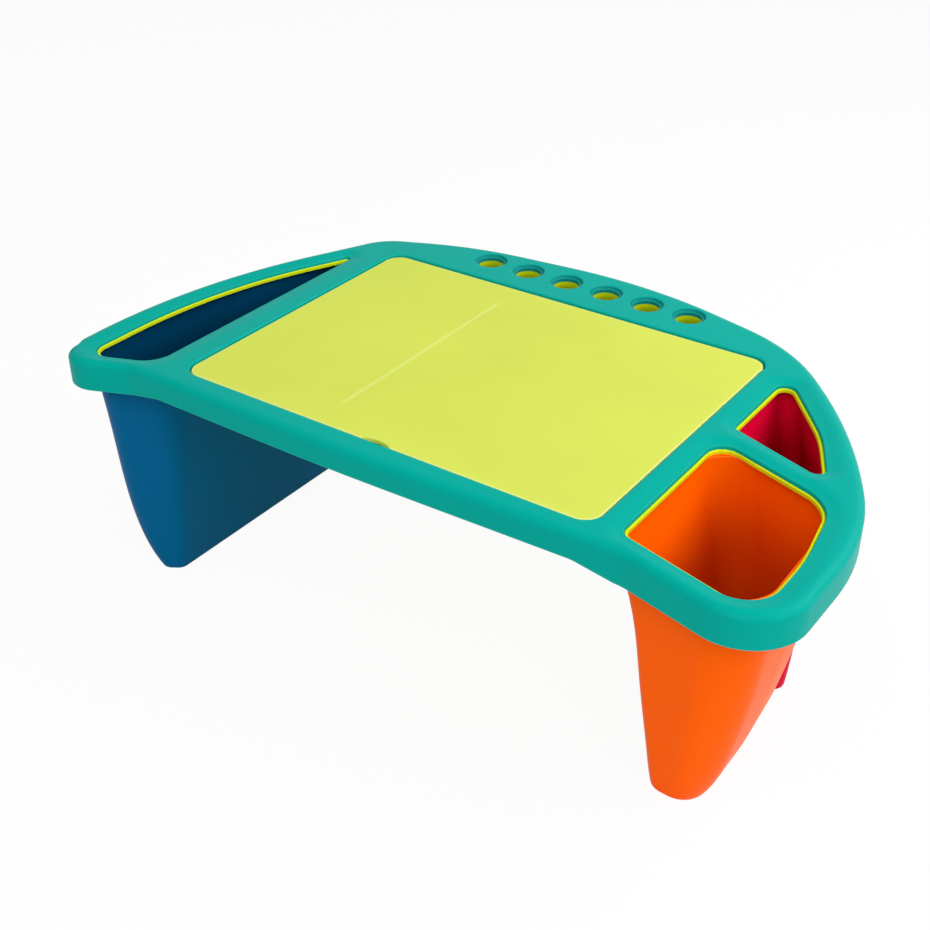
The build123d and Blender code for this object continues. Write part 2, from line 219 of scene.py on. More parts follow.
def mouldedPlastic(name, look, marksAndPaintedLight=None):  # satin injection-moulded plastic, finely grained
    material = bpy.data.materials.new(name)
    tree = newTree(material)
    place = addNode(tree, "ShaderNodeTexCoord").outputs["Object"]
    grain = addGroup(tree, grainGroup, {"Vector": place, "Fine": look["fine"], "Peel": look["peel"]})
    tone = addGroup(tree, toneGroup, {
        "Vector": place, "Color": look["color"], "Spread": look["spread"], "Speck": grain.outputs["Speck"]})
    rub = addGroup(tree, edgeGroup, {"Vector": place, "Radius": look["edgeRadius"], "Wear": look["wear"]})
    scuff = addGroup(tree, scuffGroup, {"Vector": place, "High": look["scuffHeight"]})
    color = tone.outputs["Color"]
    # marks, and painted light and shade, laid over the tone
    if marksAndPaintedLight:
        color = marksAndPaintedLight(tree, place, look, color)
    color = blendNode(tree, rub.outputs["Mask"], color, look["edgeColor"])
    worn = mathNode(tree, "MULTIPLY", scuff.outputs["Mask"], look["scuff"])
    color = blendNode(tree, worn, color, look["edgeColor"])
    speck = mathNode(tree, "SUBTRACT", grain.outputs["Speck"], 0.5)
    rough = mathNode(tree, "MULTIPLY_ADD", speck, look["roughSpread"], look["roughness"])
    rough = mathNode(tree, "MULTIPLY_ADD", worn, look["scuffRough"], rough, clamp=True)
    bump = addNode(tree, "ShaderNodeBump", {
        "Height": grain.outputs["Height"], "Strength": look["bump"], "Distance": look["grainHeight"]})
    shader = addNode(tree, "ShaderNodeBsdfPrincipled", {
        "Base Color": color, "Roughness": rough, "Normal": bump.outputs["Normal"],
        "IOR": look["refraction"], "Specular IOR Level": look["specular"]})
    addNode(tree, "ShaderNodeOutputMaterial", {"Surface": shader.outputs["BSDF"]})
    return material


def lidRibAndPaintedLight(tree, place, look, color):  # painted highlight along the lid's edge, painted shade of the ledge beneath, and the pan's rib seen through
    centred = addNode(tree, "ShaderNodeMapping", {"Vector": place, "Location": -datum})
    spot = splitNode(tree, centred.outputs[0])
    halfX = (lidHigh.x - lidLow.x) / 2 - look["pinReach"] - look["corner"]
    halfY = (lidHigh.y - lidLow.y) / 2 - look["corner"]
    sideways = mathNode(tree, "ABSOLUTE", spot["X"])
    backways = mathNode(tree, "ABSOLUTE", spot["Y"])
    acrossX = mathNode(tree, "SUBTRACT", sideways, halfX)
    acrossY = mathNode(tree, "SUBTRACT", backways, halfY)
    outX = mathNode(tree, "POWER", mathNode(tree, "MAXIMUM", acrossX, 0.0), 2.0)
    outY = mathNode(tree, "POWER", mathNode(tree, "MAXIMUM", acrossY, 0.0), 2.0)
    corner = mathNode(tree, "SQRT", mathNode(tree, "ADD", outX, outY))
    flat = mathNode(tree, "MINIMUM", mathNode(tree, "MAXIMUM", acrossX, acrossY), 0.0)
    within = mathNode(tree, "SUBTRACT", look["corner"], mathNode(tree, "ADD", corner, flat))
    # painted shade of the ledge beneath the lid's edges
    ledge = fadeNode(tree, within, look["ledge"] * 3, look["ledge"] * 0.3)
    ledge = mathNode(tree, "MULTIPLY", ledge, look["ledgeShare"])
    color = blendNode(tree, ledge, color, look["ledgeShadeColor"])
    line = mathNode(tree, "ABSOLUTE", mathNode(tree, "SUBTRACT", spot["X"], look["ribX"]))
    rib = fadeNode(tree, line, look["ribHalf"] * 2, look["ribHalf"] * 0.5)
    rib = mathNode(tree, "MULTIPLY", rib, fadeNode(tree, backways, *look["ribEnd"]))
    rib = mathNode(tree, "MULTIPLY", rib, fadeNode(tree, spot["Z"], *look["topFace"]))
    rib = mathNode(tree, "MULTIPLY", rib, look["ribShare"])
    color = blendNode(tree, rib, color, look["edgeColor"])
    # painted highlight: a pale line along the lid's thin edge, where light catches it
    highlightBand = fadeNode(tree, within, look["highlightBand"] * 1.4, look["highlightBand"] * 0.8)
    highlightBand = mathNode(tree, "MULTIPLY", highlightBand, look["highlightShare"])
    return blendNode(tree, highlightBand, color, look["edgeColor"])


def paintedInsideShade(tree, place, look, color):  # painted shade: a bin's inside is darker than its outside, most so low down
    away = addNode(tree, "ShaderNodeVectorMath", {
        0: place, 1: Vector(look["middle"])}, operation="SUBTRACT")
    plan = addNode(tree, "ShaderNodeVectorMath", {
        0: away.outputs[0], 1: (1, 1, 0)}, operation="MULTIPLY")
    facing = addNode(tree, "ShaderNodeVectorMath", operation="DOT_PRODUCT")
    fillInputs(tree, facing, {0: plan.outputs[0], 1: addNode(tree, "ShaderNodeTexCoord").outputs["Normal"]})
    inside = fadeNode(tree, facing.outputs["Value"], 0.0, -look["insideFade"])
    height = splitNode(tree, place)["Z"]
    deep = fadeNode(tree, height, datum.z - look["insideTop"], datum.z - look["insideDepth"])
    shade = blendNode(tree, deep, look["insideShadeColor"], look["deepShadeColor"])
    return blendNode(tree, inside, color, shade)


def paintedHoleShade(tree, place, look, color):  # painted shade: the pen holes' walls are darkened, as they lie in their own shade
    away = addNode(tree, "ShaderNodeVectorMath", {0: place, 1: datum}, operation="SUBTRACT")
    spot = splitNode(tree, away.outputs[0])
    pitch, middle = look["holePitch"], look["holeMiddle"]
    fromMiddle = mathNode(tree, "SUBTRACT", spot["X"], middle[0])
    across = mathNode(tree, "SUBTRACT", mathNode(tree, "PINGPONG", fromMiddle, pitch), pitch / 2)
    back = mathNode(tree, "SUBTRACT", spot["Y"], middle[1])
    squares = mathNode(tree, "MULTIPLY_ADD", across, across, mathNode(tree, "MULTIPLY", back, back))
    reach, shade = mathNode(tree, "SQRT", squares), look["holeShade"]
    near = fadeNode(tree, reach, shade + look["holeFade"], shade)
    sideways = mathNode(tree, "ABSOLUTE", fromMiddle)
    within = mathNode(tree, "LESS_THAN", sideways, pitch * look["holeCount"] / 2)
    mask = mathNode(tree, "MULTIPLY", near, within)
    return blendNode(tree, mask, color, look["holeWallShadeColor"])


def paintedCupShade(tree, place, look, color):  # painted shade: the pen cups are darker than the rims
    spot = splitNode(tree, place)
    low = fadeNode(tree, spot["Z"], *(datum.z - depth for depth in look["cupDepths"]))
    back = fadeNode(tree, spot["Y"], *(datum.y + way for way in look["cupsFrom"]))
    return blendNode(tree, mathNode(tree, "MULTIPLY", low, back), color, look["cupShadeColor"])


def binMiddle(node):  # in plan, so that a face can tell whether it looks inward
    low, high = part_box(node)
    return ((low.x + high.x) / 2, (low.y + high.y) / 2, 0.0)


plainLook = {
    "fine": 1.0, "peel": 0.6, "spread": 0.10, "edgeRadius": 0.0012, "wear": 0.5, "scuffHeight": 0.003,
    "scuff": 0.0, "scuffRough": 0.2, "roughSpread": 0.10, "roughness": 0.36, "bump": 0.18,
    "grainHeight": 0.0002, "specular": 0.03, "refraction": 1.49,
}
frameLook = dict(
    # the hole colour is painted shade on the pen holes' walls
    plainLook, color=srgb(0, 160, 147), edgeColor=srgb(90, 205, 195), holeWallShadeColor=srgb(0, 132, 126),
    holeCount=6, holePitch=0.0334, holeMiddle=(-0.0035, 0.1442), holeShade=0.0119, holeFade=0.0005)
trayLook = dict(
    # the cup colour is painted shade low in the pen cups
    plainLook, color=srgb(206, 222, 16), edgeColor=srgb(222, 232, 70), cupShadeColor=srgb(158, 170, 4),
    cupDepths=(0.003, 0.009), cupsFrom=(0.128, 0.130))
lidLook = dict(
    # the ledge colour is painted shade near the lid's edges
    plainLook, color=srgb(203, 214, 86), edgeColor=srgb(232, 238, 160), ledgeShadeColor=srgb(205, 216, 88),
    spread=0.16, fine=0.7, peel=0.3, roughness=0.42,
    pinReach=0.0045, corner=0.012,            # the lid's outline without its pins
    # the border band is a painted highlight along the lid's edge
    highlightBand=0.0010, highlightShare=0.5, ledge=0.0045, ledgeShare=0.5,
    ribX=-0.0425, ribHalf=0.0012, ribShare=0.25, ribEnd=(0.095, 0.080), topFace=(-0.0008, -0.0004))
binLook = dict(plainLook, scuff=0.5, insideFade=0.002, insideTop=0.008)
# each bin's inside colour and deep colour are painted shade
blueLook = dict(
    binLook, color=srgb(0, 95, 142), edgeColor=srgb(50, 130, 170), middle=binMiddle("blue_leg_bin"),
    insideShadeColor=srgb(0, 64, 98), deepShadeColor=srgb(0, 48, 77), insideDepth=0.045)
orangeLook = dict(
    binLook, color=srgb(255, 96, 0), edgeColor=srgb(255, 140, 70), middle=binMiddle("orange_leg_bin"),
    insideShadeColor=srgb(250, 98, 0), deepShadeColor=srgb(205, 66, 2), insideDepth=0.075)
redLook = dict(
    binLook, color=srgb(205, 14, 60), edgeColor=srgb(230, 80, 110), middle=binMiddle("red_leg_bin"),
    insideShadeColor=srgb(220, 4, 52), deepShadeColor=srgb(168, 0, 22), insideDepth=0.045)

finishes = {
    "top_frame": mouldedPlastic("tealFrame", frameLook, paintedHoleShade),
    "storage_tray": mouldedPlastic("limeTray", trayLook, paintedCupShade),
    "lid": mouldedPlastic("frostedLid", lidLook, lidRibAndPaintedLight),
    "blue_leg_bin": mouldedPlastic("blueBin", blueLook, paintedInsideShade),
    "orange_leg_bin": mouldedPlastic("orangeBin", orangeLook, paintedInsideShade),
    "red_leg_bin": mouldedPlastic("redBin", redLook, paintedInsideShade),
}
steelLook = {
    "color": srgb(150, 152, 155), "roughness": 0.35, "roughSpread": 0.2, "spread": 0.3,
    "scratchScale": 2600.0, "scratchHeight": 0.00005, "bump": 0.2,
}


def screwSteel(name, look):  # zinc-plated steel, finely scratched
    material = bpy.data.materials.new(name)
    tree = newTree(material)
    place = addNode(tree, "ShaderNodeTexCoord").outputs["Object"]
    tone = addGroup(tree, toneGroup, {"Vector": place, "Color": look["color"], "Spread": look["spread"]})
    scratch = addNode(tree, "ShaderNodeTexNoise", {
        "Vector": place, "Scale": look["scratchScale"], "Detail": 3.0})
    rough = mathNode(tree, "MULTIPLY_ADD", scratch.outputs["Fac"], look["roughSpread"], look["roughness"])
    bump = addNode(tree, "ShaderNodeBump", {
        "Height": scratch.outputs["Fac"], "Strength": look["bump"], "Distance": look["scratchHeight"]})
    shader = addNode(tree, "ShaderNodeBsdfPrincipled", {
        "Base Color": tone.outputs["Color"], "Metallic": 1.0, "Roughness": rough,
        "Normal": bump.outputs["Normal"]})
    addNode(tree, "ShaderNodeOutputMaterial", {"Surface": shader.outputs["BSDF"]})
    return material


finishes["tray_screws"] = finishes["bin_screws"] = screwSteel("zincScrew", steelLook)
for name, material in finishes.items():
    for materialSlot in nodes[name].material_slots:
        materialSlot.material = material
print("finishes made")


cornerEasings = [  # sharp corners of the orange bin's opening, the ways along their edges, and the radii
    {"corner": (0.1708, 0.0084), "edges": ((0.9487, -0.3159), (0.0, -1.0)),
     "was": 0.028, "now": 0.012},
    {"corner": (0.2555, -0.0198), "edges": ((-0.9487, 0.3159), (0.1495, -0.9888)),
     "was": 0.026, "now": 0.033},
]
easeSettings = {
    "whole": 0.0035,                   # points this near the old corner move all the way
    "fade": 1.5, "fadeLeast": 0.002,   # then less and less, over this many moves and this much
    "widest": 1.4, "steepest": 1.3,    # angles from the corner's middle, in radians
}


def easeCorner(places, easing):  # slides a rounded corner in or out until its radius is the new one
    corner = np.array([datum.x, datum.y]) + easing["corner"]
    edges = np.array(easing["edges"])
    inward = edges.sum(0) / np.linalg.norm(edges.sum(0))
    half = math.acos(inward @ edges[0] / np.linalg.norm(edges[0]))
    turn = math.pi / 2 - half
    was, now = easing["was"], easing["now"]
    gap = places - corner - inward * was / math.sin(half)
    reach = np.linalg.norm(gap, axis=1)
    angle = np.arccos(np.clip(-(gap @ inward) / reach, -1, 1))
    shift = (was - now) / math.sin(half)
    tangent = math.atan2(now * math.sin(turn), shift + now * math.cos(turn))
    steepest = easeSettings["steepest"]
    straight = was / np.cos(np.clip(angle - turn, -steepest, steepest))
    before = np.where(angle < turn, was, straight)
    rounded = shift * np.cos(angle) + np.sqrt(np.maximum(now ** 2 - (shift * np.sin(angle)) ** 2, 0))
    move = np.where(angle < tangent, rounded, straight) - before
    beyond = np.abs(reach - before) - easeSettings["whole"]
    share = 1 - np.clip(beyond / (easeSettings["fade"] * np.abs(move) + easeSettings["fadeLeast"]), 0, 1)
    share[angle > easeSettings["widest"]] = 0
    return places + gap * (move * share / reach)[:, None]


def easeCorners(verts):
    verts = list(verts)
    places = np.array([v.co[:2] for v in verts])
    for easing in cornerEasings:
        places = easeCorner(places, easing)
    for v, place in zip(verts, places):
        v.co.x, v.co.y = place


skinSettings = {
    "crest": 0.0012,        # height of the frame's crown above the lid
    "relaid": -0.00335,     # the faces above this height that look up are laid anew
    "upward": 0.02,         # how much a face looks up at least
    "edgeStep": 0.0020,     # longest stretch of an edge loop
    "gridStep": 0.0030,     # triangles of the flat part
    "minGap": 0.0009,       # closest that points of a wide ring may stand
    "closeRing": 0.001,     # rings nearer than this to an edge keep all their points
    "outerWide": 0.0065, "outerDeep": 0.0045, "outerRings": 7,
    "windowWide": 0.0010, "windowDeep": 0.0010, "windowRings": 4,
    "holeSeat": 0.0015, "holeWide": 0.0028, "holeDeep": 0.0018, "holeRings": 8,  # flat seat, steep wall
    "lipWide": 0.0005, "lipDeep": 0.0023, "lipRings": 4,       # round at an opening's edge
    "dishWide": 0.0110, "dishDeep": 0.0017, "dishRings": 9,    # the soft dish round it
}
loopWidths = {"outer": 0.45, "window": 0.2, "mouth": 0.03, "hole": 0.0}  # least width of each kind
smoothAngle = 40    # edges sharper than this stay sharp
weldGap = 2e-6      # a node's loose triangles are joined where their corners are this near
batch = 1000        # points measured at a time


def edgeDrop(away, wide, deep):  # a quarter ellipse that falls to a wall
    share = np.clip(1 - away / wide, 0, 1)
    return deep * (1 - np.sqrt(1 - share ** 2))


def softDrop(away, wide, deep, seat=0.0):  # a soft S from the crown down to a flat seat
    share = np.clip((away - seat) / (wide - seat), 0, 1)
    return deep * (1 - share * share * (3 - 2 * share))


def roundSteps(wide, count):  # ring distances that follow a quarter round evenly
    return [wide * (1 - math.cos(math.pi / 2 * (step + 1) / count)) for step in range(count)]


def distanceTo(points, segments):  # shortest distance in plan from each point to a set of segments
    start = segments[:, 0]
    run = segments[:, 1] - start
    best = np.empty(len(points))
    for first in range(0, len(points), batch):
        part = points[first:first + batch, None]
        share = np.clip(((part - start) * run).sum(2) / (run ** 2).sum(1), 0, 1)
        gap = part - start - share[..., None] * run
        best[first:first + batch] = np.sqrt((gap ** 2).sum(2)).min(1)
    return best


def isInside(points, segments):  # even-odd test, so holes count as outside
    start, end = segments[:, 0], segments[:, 1]
    rise = end[:, 1] - start[:, 1]
    slope = (end[:, 0] - start[:, 0]) / np.where(rise == 0, 1.0, rise)
    inside = np.empty(len(points), bool)
    for first in range(0, len(points), batch):
        x, y = points[first:first + batch, 0:1], points[first:first + batch, 1:2]
        crossed = (start[:, 1] > y) != (end[:, 1] > y)
        left = x < start[:, 0] + (y - start[:, 1]) * slope
        inside[first:first + batch] = (crossed & left).sum(1) % 2 == 1
    return inside


def thinned(points, gap):  # drops points closer than gap to one already kept
    kept, cells = [], {}
    for x, y in points:
        column, row = int(x // gap), int(y // gap)
        near = [other for i in (-1, 0, 1) for j in (-1, 0, 1)
                for other in cells.get((column + i, row + j), ())]
        if all((x - other[0]) ** 2 + (y - other[1]) ** 2 >= gap * gap for other in near):
            kept.append((x, y))
            cells.setdefault((column, row), []).append((x, y))
    return kept


def edgeLoops(mesh):  # the open edges of a mesh, walked into closed loops of vertices
    waiting = {edge for edge in mesh.edges if edge.is_boundary}
    loops = []
    while waiting:
        edge = min(waiting, key=lambda e: e.index)
        waiting.remove(edge)
        loop = [edge.verts[0], edge.verts[1]]
        while loop[-1] is not loop[0]:
            following = next(e for e in loop[-1].link_edges if e in waiting)
            waiting.remove(following)
            loop.append(following.other_vert(loop[-1]))
        loops.append(loop[:-1])
    return loops


def loopKind(loop):  # which edge of the frame's top a loop is, by its width
    width = max(v.co.x for v in loop) - min(v.co.x for v in loop)
    return next(kind for kind, least in loopWidths.items() if width > least)


def weldedNode(node):  # a copy of a CAD node's mesh as one skin
    mesh = bmesh.new()
    mesh.from_mesh(nodes[node].data)
    bmesh.ops.remove_doubles(mesh, verts=mesh.verts, dist=weldGap)
    return mesh


def splitLongEdges(mesh, longest):
    longEdges = {}
    for edge in mesh.edges:
        if edge.is_boundary and edge.calc_length() > longest:
            longEdges.setdefault(math.ceil(edge.calc_length() / longest) - 1, []).append(edge)
    for cuts, edges in longEdges.items():
        bmesh.ops.subdivide_edges(mesh, edges=edges, cuts=cuts, use_grid_fill=False)


def ringPoints(segments, every, look):  # rows of points that follow each edge at set distances
    rings = {
        "outer": roundSteps(look["outerWide"], look["outerRings"]),
        "window": roundSteps(look["windowWide"], look["windowRings"]),
        "hole": np.linspace(look["holeSeat"], look["holeWide"], look["holeRings"]).tolist(),
        "mouth": roundSteps(look["lipWide"], look["lipRings"]) + [
            look["dishWide"] * (step + 1) / look["dishRings"] for step in range(look["dishRings"])],
    }
    fine, coarse = [], []
    for kind, pieces in segments.items():
        for piece in pieces:
            along = piece[:, 1] - np.roll(piece, 1, 0)[:, 0]
            side = np.stack([along[:, 1], -along[:, 0]], 1) / np.linalg.norm(along, axis=1)[:, None]
            for away in rings[kind]:
                both = np.concatenate([piece[:, 0] + side * away, piece[:, 0] - side * away])
                both = both[isInside(both, every)]
                both = both[distanceTo(both, every) > away * 0.97]  # not nearer to another edge
                close = away < look["closeRing"] or kind == "hole"
                (fine if close else coarse).extend(both.tolist())
    return fine + thinned(coarse, look["minGap"])


def gridPoints(every, look):  # an even triangle grid over the rest
    low, high = every.reshape(-1, 2).min(0), every.reshape(-1, 2).max(0)
    step = look["gridStep"]
    rowStep = step * 0.866  # height of an even triangle
    columns, rows = np.meshgrid(np.arange(low[0], high[0], step), np.arange(low[1], high[1], rowStep))
    columns[1::2] += step / 2
    grid = np.stack([columns.ravel(), rows.ravel()], 1)
    grid = grid[isInside(grid, every)]
    grid = grid[distanceTo(grid, every) > look["minGap"] * 1.5]
    return thinned(grid.tolist(), step * 0.5)


def crownHeights(points, segments, look):  # the crown, less what falls away to each edge
    drop = np.zeros(len(points))
    for kind, pieces in segments.items():
        for piece in pieces:
            away = distanceTo(points, piece)
            if kind == "mouth":
                drop += softDrop(away, look["dishWide"], look["dishDeep"])
                drop += edgeDrop(away, look["lipWide"], look["lipDeep"])
            elif kind == "hole":
                drop += softDrop(away, look["holeWide"], look["holeDeep"], look["holeSeat"])
            else:
                drop += edgeDrop(away, look[kind + "Wide"], look[kind + "Deep"])
    return datum.z + look["crest"] - drop


def makeFrameSkin(look):
    mesh = weldedNode("top_frame")
    relaid = [face for face in mesh.faces
              if face.normal.z > look["upward"] and face.calc_center_median().z > datum.z + look["relaid"]]
    bmesh.ops.delete(mesh, geom=relaid, context="FACES")
    splitLongEdges(mesh, look["edgeStep"])
    easeCorners(mesh.verts)
    mesh.edges.index_update()
    loops = edgeLoops(mesh)
    kinds = [loopKind(loop) for loop in loops]
    print("frame edge loops:", {kind: kinds.count(kind) for kind in sorted(set(kinds))})
    segments = {}
    for loop, kind in zip(loops, kinds):
        ends = np.array([v.co[:2] for v in loop])
        segments.setdefault(kind, []).append(np.stack([ends, np.roll(ends, -1, 0)], 1))
    every = np.concatenate([piece for pieces in segments.values() for piece in pieces])
    inner = np.array(ringPoints(segments, every, look) + gridPoints(every, look))
    heights = crownHeights(inner, segments, look)
    given = [v for loop in loops for v in loop]
    count, edges = 0, []
    for loop in loops:
        edges += [(count + i, count + (i + 1) % len(loop)) for i in range(len(loop))]
        count += len(loop)
    plan = [Vector(v.co[:2]) for v in given] + [Vector(point) for point in inner]
    spots, _, faces, sources, _, _ = geometry.delaunay_2d_cdt(plan, edges, [], 0, 1e-8)
    corners = []
    for spot, source in zip(spots, sources):
        if source[0] < len(given):
            corners.append(given[source[0]])
        else:
            corners.append(mesh.verts.new((spot.x, spot.y, heights[source[0] - len(given)])))
    flat = np.array(spots)
    triangles = np.array([face for face in faces if len(face) == 3])
    kept = isInside(flat[triangles].mean(1), every)
    for face in triangles[kept]:
        mesh.faces.new([corners[i] for i in face])
    bmesh.ops.triangulate(mesh, faces=[face for face in mesh.faces if len(face.verts) > 3])
    loose = [v for v in mesh.verts if not v.link_faces]
    bmesh.ops.delete(mesh, geom=loose, context="VERTS")
    addPiece("frameSkin", mesh, "top_frame")


def addPiece(name, mesh, node):  # a finished mesh that stands for one node of the desk
    mesh.normal_update()
    for face in mesh.faces:
        face.smooth = True
    limit = math.radians(smoothAngle)
    for edge in mesh.edges:
        edge.smooth = edge.is_manifold and edge.calc_face_angle(math.pi) < limit
    openEdges = sum(not edge.is_manifold for edge in mesh.edges)
    print(name, len(mesh.faces), "faces, open edges:", openEdges)
    data = bpy.data.meshes.new(name)
    mesh.to_mesh(data)
    mesh.free()
    data.materials.append(finishes[node])
    piece = bpy.data.objects.new(name, data)
    bpy.context.scene.collection.objects.link(piece)
    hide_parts(node)
    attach(piece, "desk")


def makeTrayShell():  # the tray, its rim brought to the same corners as the frame's skin
    mesh = weldedNode("storage_tray")
    easeCorners(mesh.verts)
    addPiece("trayShell", mesh, "storage_tray")


makeFrameSkin(skinSettings)
makeTrayShell()
print("frame and tray made")


screwSettings = {  # each is a named input of the screws' node tree
    "Head Radius": 0.0029, "Head Height": 0.0020, "Shank Radius": 0.0014,
    "Pitch": 0.0013, "Thread Depth": 0.00035,
    "Recess Length": 0.0040, "Recess Width": 0.0008, "Recess Depth": 0.0010,
}
screwSheet = {"columns": 33, "rows": 84, "turnSeed": 7, "valleyEdge": 3.4}
# shares of the head's and the shank's sizes, against the way from the driven face to the tip
screwCurves = {
    "headRadius": [(0, 0), (0.13, 0.69), (0.16, 0.845), (0.19, 0.958), (0.22, 1), (0.27, 1),
                   (0.30, 0), (1, 0)],
    "headHeight": [(0, 0), (0.13, 0), (0.16, 0.06), (0.19, 0.225), (0.22, 0.45), (0.27, 1), (1, 1)],
    "shankRadius": [(0, 0), (0.27, 0), (0.30, 1), (0.94, 1), (1, 0)],
    "shankHeight": [(0, 0), (0.30, 0), (0.94, 0.92), (1, 1)],
    "thread": [(0, 0), (0.31, 0), (0.33, 1), (0.93, 1), (0.98, 0), (1, 0)],
}


def curveNode(tree, value, points):  # straight runs between the points
    node = addNode(tree, "ShaderNodeFloatCurve", {"Value": value})
    curve = node.mapping.curves[0]
    for place in points[1:-1]:
        curve.points.new(*place)
    for point, place in zip(curve.points, points):
        point.location = place
        point.handle_type = "VECTOR"
    node.mapping.update()
    return node.outputs["Value"]


def makeScrewTree():  # one threaded pan-head screw, set on every point that comes in
    tree = bpy.data.node_groups.new("screwMaker", "GeometryNodeTree")
    tree.interface.new_socket("Places", in_out="INPUT", socket_type="NodeSocketGeometry")
    for label in list(screwSettings) + ["Length"]:
        tree.interface.new_socket(label, in_out="INPUT", socket_type="NodeSocketFloat")
    tree.interface.new_socket("Finish", in_out="INPUT", socket_type="NodeSocketMaterial")
    tree.interface.new_socket("Screws", in_out="OUTPUT", socket_type="NodeSocketGeometry")
    given = tree.nodes.new("NodeGroupInput").outputs
    sheet = addNode(tree, "GeometryNodeMeshGrid", {
        "Size X": 1.0, "Size Y": 1.0,
        "Vertices X": screwSheet["columns"], "Vertices Y": screwSheet["rows"]})
    spot = splitNode(tree, addNode(tree, "GeometryNodeInputPosition").outputs[0])
    turn = mathNode(tree, "ADD", spot["X"], 0.5)
    along = mathNode(tree, "ADD", spot["Y"], 0.5)
    angle = mathNode(tree, "MULTIPLY", turn, 2 * math.pi)
    share = {name: curveNode(tree, along, points) for name, points in screwCurves.items()}
    height = mathNode(tree, "MULTIPLY", share["headHeight"], given["Head Height"])
    height = mathNode(tree, "MULTIPLY_ADD", share["shankHeight"], given["Length"], height)
    radius = mathNode(tree, "MULTIPLY", share["headRadius"], given["Head Radius"])
    radius = mathNode(tree, "MULTIPLY_ADD", share["shankRadius"], given["Shank Radius"], radius)
    phase = mathNode(tree, "SUBTRACT", mathNode(tree, "DIVIDE", height, given["Pitch"]), turn)
    crest = mathNode(tree, "PINGPONG", phase, 0.5)
    edge = screwSheet["valleyEdge"]
    # sharp crests, wide valleys
    valley = mathNode(tree, "MULTIPLY_ADD", crest, -edge, edge / 2, clamp=True)
    cut = mathNode(tree, "MULTIPLY", valley, share["thread"])
    cut = mathNode(tree, "MULTIPLY", cut, given["Thread Depth"])
    radius = mathNode(tree, "SUBTRACT", radius, cut)
    across = mathNode(tree, "MULTIPLY", radius, mathNode(tree, "COSINE", angle))
    back = mathNode(tree, "MULTIPLY", radius, mathNode(tree, "SINE", angle))
    rolled = addNode(tree, "ShaderNodeCombineXYZ", {"X": across, "Y": back, "Z": height}).outputs[0]
    screw = addNode(tree, "GeometryNodeSetPosition", {
        "Geometry": sheet.outputs["Mesh"], "Position": rolled})
    screw = addNode(tree, "GeometryNodeMergeByDistance", {
        "Geometry": screw.outputs[0], "Distance": weldGap})
    recess = addNode(tree, "GeometryNodeMeshBoolean", {
        0: screw.outputs[0], "Self Intersection": True}, operation="DIFFERENCE", solver="EXACT")
    depth = mathNode(tree, "MULTIPLY", given["Recess Depth"], 2.0)
    for first, second in (("Recess Length", "Recess Width"), ("Recess Width", "Recess Length")):
        size = addNode(tree, "ShaderNodeCombineXYZ", {"X": given[first], "Y": given[second], "Z": depth})
        bar = addNode(tree, "GeometryNodeMeshCube", {"Size": size.outputs[0]})
        tree.links.new(bar.outputs["Mesh"], recess.inputs[1])
    chance = addNode(tree, "FunctionNodeRandomValue", {
        2: 0.0, 3: 2 * math.pi, "Seed": screwSheet["turnSeed"]})
    twist = addNode(tree, "ShaderNodeCombineXYZ", {"Z": chance.outputs[1]})
    many = addNode(tree, "GeometryNodeInstanceOnPoints", {
        "Points": given["Places"], "Instance": recess.outputs[0], "Rotation": twist.outputs[0]})
    whole = addNode(tree, "GeometryNodeRealizeInstances", {"Geometry": many.outputs[0]})
    dressed = addNode(tree, "GeometryNodeSetMaterial", {
        "Geometry": whole.outputs[0], "Material": given["Finish"]})
    fillInputs(tree, tree.nodes.new("NodeGroupOutput"), {"Screws": dressed.outputs[0]})
    return tree


def screwBoxes(node):  # the lowest and highest corner of each separate screw of a node
    mesh = weldedNode(node)
    waiting, boxes = set(mesh.verts), []
    for start in mesh.verts:
        if start not in waiting:
            continue
        waiting.remove(start)
        island, queue = [start], [start]
        while queue:
            for edge in queue.pop().link_edges:
                for v in edge.verts:
                    if v in waiting:
                        waiting.remove(v)
                        island.append(v)
                        queue.append(v)
        spots = np.array([v.co for v in island])
        boxes.append((spots.min(0), spots.max(0)))
    mesh.free()
    return boxes


def makeScrews(tree, name, node):  # all the screws of one node as one plain mesh
    boxes = screwBoxes(node)
    places = [((low[0] + high[0]) / 2, (low[1] + high[1]) / 2, low[2]) for low, high in boxes]
    points = bpy.data.meshes.new(name + "Places")
    points.from_pydata(places, [], [])
    holder = bpy.data.objects.new(name + "Places", points)
    bpy.context.scene.collection.objects.link(holder)
    modifier = holder.modifiers.new("screws", "NODES")
    modifier.node_group = tree
    low, high = boxes[0]
    length = float(high[2] - low[2]) - screwSettings["Head Height"]
    values = dict(screwSettings, Length=length, Finish=finishes[node])
    for item in tree.interface.items_tree:
        if item.in_out == "INPUT" and item.name in values:
            modifier[item.identifier] = values[item.name]
    made = bpy.data.meshes.new_from_object(holder.evaluated_get(bpy.context.evaluated_depsgraph_get()))
    holder.modifiers.remove(modifier)
    bpy.data.objects.remove(holder)
    mesh = bmesh.new()
    mesh.from_mesh(made)
    bpy.data.meshes.remove(made)
    print(name, len(boxes), "screws, each within", [round(float(v), 5) for v in high - low])
    addPiece(name, mesh, node)


screwTree = makeScrewTree()
makeScrews(screwTree, "trayScrews", "tray_screws")
makeScrews(screwTree, "binScrews", "bin_screws")
print("screws made")


